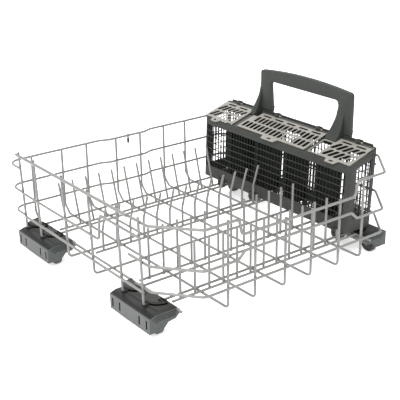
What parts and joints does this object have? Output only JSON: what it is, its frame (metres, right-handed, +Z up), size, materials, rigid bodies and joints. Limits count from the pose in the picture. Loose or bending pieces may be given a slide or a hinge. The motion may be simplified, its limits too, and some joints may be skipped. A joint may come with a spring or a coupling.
{
  "type": "lower dishwasher rack with cutlery basket",
  "caption": "Wire dish rack on rollers with upright tines, side rails and a long lidded cutlery basket with a carrying handle.",
  "frame": {"origin": "bottom centre of the bounding box, on the plane where the wheels stand", "axes": "+Z up, -Y to the front of the rack, +X to the side with the cutlery basket"},
  "size_m": [0.552, 0.5408, 0.305],
  "materials": {
    "wire": "satin coated wire",
    "housing": "moulded, fine grain",
    "clip": "moulded, fine grain",
    "wheel": "moulded",
    "basket": "moulded, fine grain",
    "handle": "moulded, fine grain",
    "lid": "moulded, fine grain"
  },
  "bodies": {
    "rack": {"length_wires": "wire", "cross_wires": "wire", "front_top_rail": "wire", "front_middle_rail": "wire", "front_base_rail": "wire", "rear_top_rail": "wire", "rear_middle_rail": "wire", "rear_low_rail": "wire", "rear_stub": "wire", "side_top_rails": "wire", "side_middle_rails": "wire", "side_low_rails": "wire", "tine_row_1": "wire", "tine_row_2": "wire", "tine_row_3": "wire", "tine_row_4": "wire", "housing_rear_left": "housing", "housing_rear_right": "housing", "housing_front_left": "housing", "housing_front_right": "housing", "wire_clips_rear_left": "clip", "wire_clips_rear_right": "clip", "wire_clips_front_left": "clip", "wire_clips_front_right": "clip", "cutlery_basket": "basket", "basket_handle": "handle"},
    "wheel_rear_left_1": {"wheel_rear_left_1": "wheel"},
    "wheel_rear_left_2": {"wheel_rear_left_2": "wheel"},
    "wheel_rear_right_1": {"wheel_rear_right_1": "wheel"},
    "wheel_rear_right_2": {"wheel_rear_right_2": "wheel"},
    "wheel_front_left_1": {"wheel_front_left_1": "wheel"},
    "wheel_front_left_2": {"wheel_front_left_2": "wheel"},
    "wheel_front_right_1": {"wheel_front_right_1": "wheel"},
    "wheel_front_right_2": {"wheel_front_right_2": "wheel"},
    "lid_rear": {"lid_rear": "lid"},
    "lid_middle": {"lid_middle": "lid"},
    "lid_front": {"lid_front": "lid"}
  },
  "joints": [
    {"name": "wheel_rear_left_1_spin", "type": "hinge", "parent": "rack", "child": "wheel_rear_left_1", "pos_m": [-0.25, 0.2144, 0.0165], "axis": [1, 0, 0], "continuous": true},
    {"name": "wheel_rear_left_2_spin", "type": "hinge", "parent": "rack", "child": "wheel_rear_left_2", "pos_m": [-0.25, 0.1354, 0.0165], "axis": [1, 0, 0], "continuous": true},
    {"name": "wheel_rear_right_1_spin", "type": "hinge", "parent": "rack", "child": "wheel_rear_right_1", "pos_m": [0.25, 0.2144, 0.0165], "axis": [1, 0, 0], "continuous": true},
    {"name": "wheel_rear_right_2_spin", "type": "hinge", "parent": "rack", "child": "wheel_rear_right_2", "pos_m": [0.25, 0.1354, 0.0165], "axis": [1, 0, 0], "continuous": true},
    {"name": "wheel_front_left_1_spin", "type": "hinge", "parent": "rack", "child": "wheel_front_left_1", "pos_m": [-0.25, -0.1191, 0.0165], "axis": [1, 0, 0], "continuous": true},
    {"name": "wheel_front_left_2_spin", "type": "hinge", "parent": "rack", "child": "wheel_front_left_2", "pos_m": [-0.25, -0.1981, 0.0165], "axis": [1, 0, 0], "continuous": true},
    {"name": "wheel_front_right_1_spin", "type": "hinge", "parent": "rack", "child": "wheel_front_right_1", "pos_m": [0.25, -0.1191, 0.0165], "axis": [1, 0, 0], "continuous": true},
    {"name": "wheel_front_right_2_spin", "type": "hinge", "parent": "rack", "child": "wheel_front_right_2", "pos_m": [0.25, -0.1981, 0.0165], "axis": [1, 0, 0], "continuous": true},
    {"name": "lid_rear_hinge", "type": "hinge", "parent": "rack", "child": "lid_rear", "pos_m": [0.24974, 0, 0.21011], "axis": [0, 1, 0], "range_deg": [0, 105]},
    {"name": "lid_middle_hinge", "type": "hinge", "parent": "rack", "child": "lid_middle", "pos_m": [0.24974, 0, 0.21011], "axis": [0, 1, 0], "range_deg": [0, 100]},
    {"name": "lid_front_hinge", "type": "hinge", "parent": "rack", "child": "lid_front", "pos_m": [0.24974, 0, 0.21011], "axis": [0, 1, 0], "range_deg": [0, 80]}
  ]
}
